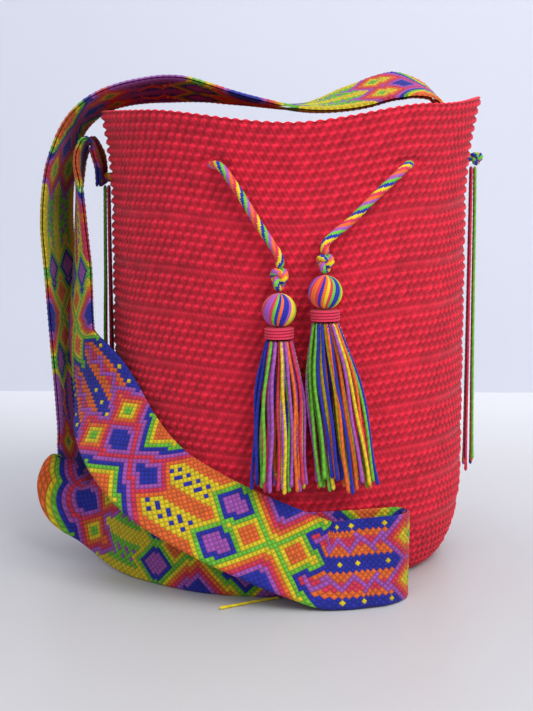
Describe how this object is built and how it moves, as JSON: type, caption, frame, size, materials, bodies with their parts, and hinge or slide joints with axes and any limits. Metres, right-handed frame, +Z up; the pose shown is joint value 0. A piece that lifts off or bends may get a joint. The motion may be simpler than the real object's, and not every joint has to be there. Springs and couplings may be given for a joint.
{
  "type": "crocheted drawstring bucket bag",
  "caption": "Crocheted bucket bag with a drawstring mouth, hanging tassels and a wide knotted shoulder strap tied to its two sides.",
  "frame": {"origin": "centre of the bag's flat round base, on the surface that it stands on", "axes": "+Z up through the mouth, -Y towards the front with the tassels, +X towards the viewer's right"},
  "size_m": [0.304, 0.25, 0.3349],
  "materials": {
    "crochet_coral": "soft twisted yarn, matt",
    "coral_yarn": "soft twisted yarn, matt",
    "braid_yarn": "soft twisted yarn, matt",
    "knot_orange": "soft twisted yarn, matt",
    "tassel_purple": "soft twisted yarn, matt",
    "binding_coral": "soft twisted yarn, matt",
    "tassel_blue": "soft twisted yarn, matt",
    "tie_green": "soft twisted yarn, matt",
    "blue_yarn": "soft twisted yarn, matt",
    "yellow_yarn": "soft twisted yarn, matt",
    "purple_yarn": "soft twisted yarn, matt",
    "green_yarn": "soft twisted yarn, matt",
    "orange_yarn": "soft twisted yarn, matt"
  },
  "bodies": {
    "root": {"bag_body": "crochet_coral", "shoulder_strap": "coral_yarn", "drawstring": "braid_yarn", "left_cord_knot": "knot_orange", "left_tassel_head": "tassel_purple", "left_tassel_binding": "binding_coral", "left_tassel_skirt": "tassel_blue", "left_strap_tie": "tie_green", "left_tie_yarn_1": "coral_yarn", "left_tie_yarn_2": "blue_yarn", "left_tie_yarn_3": "yellow_yarn", "left_tie_yarn_4": "purple_yarn", "left_tie_yarn_5": "green_yarn", "left_tie_yarn_6": "orange_yarn", "left_tie_yarn_7": "blue_yarn", "right_cord_knot": "knot_orange", "right_tassel_head": "tassel_purple", "right_tassel_binding": "binding_coral", "right_tassel_skirt": "tassel_blue", "right_strap_tie": "tie_green", "right_tie_yarn_1": "coral_yarn", "right_tie_yarn_2": "blue_yarn", "right_tie_yarn_3": "yellow_yarn", "right_tie_yarn_4": "purple_yarn", "right_tie_yarn_5": "green_yarn", "right_tie_yarn_6": "orange_yarn", "right_tie_yarn_7": "blue_yarn", "loose_yarn": "yellow_yarn"}
  },
  "joints": []
}
